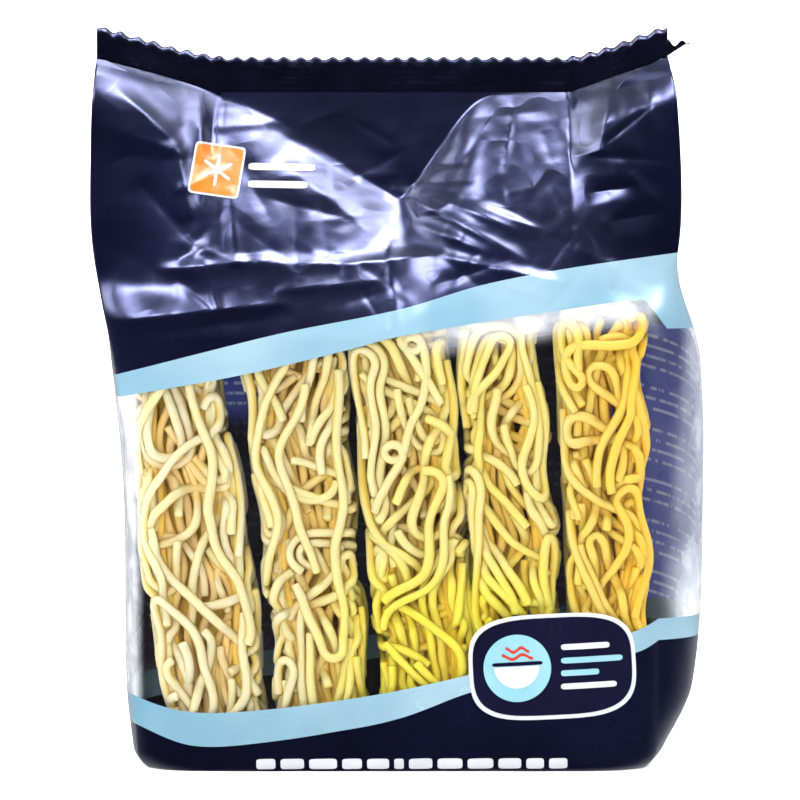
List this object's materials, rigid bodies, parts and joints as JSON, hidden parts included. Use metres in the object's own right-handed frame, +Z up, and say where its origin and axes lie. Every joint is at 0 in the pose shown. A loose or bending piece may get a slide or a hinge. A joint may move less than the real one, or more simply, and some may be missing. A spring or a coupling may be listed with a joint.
{
  "type": "pack of frozen ramen",
  "caption": "Upright sealed film bag with a toothed crimped seal and a clear window, holding leaning blocks of frozen noodles.",
  "frame": {"origin": "middle of the base, on the surface that the pack stands on", "axes": "+Z up to the seal, +X to the right of the printed front, which faces -Y"},
  "size_m": [0.1706, 0.084, 0.2044],
  "materials": {
    "film": "glossy printed film, dark blue with light blue stripes",
    "noodles": "frozen wheat noodles, slightly moist",
    "clear_film": "clear glossy film of the window"
  },
  "bodies": {
    "root": {"bag": "film", "noodle_block_1": "noodles", "noodle_block_2": "noodles", "noodle_block_3": "noodles", "noodle_block_4": "noodles", "noodle_block_5": "noodles"}
  },
  "joints": []
}
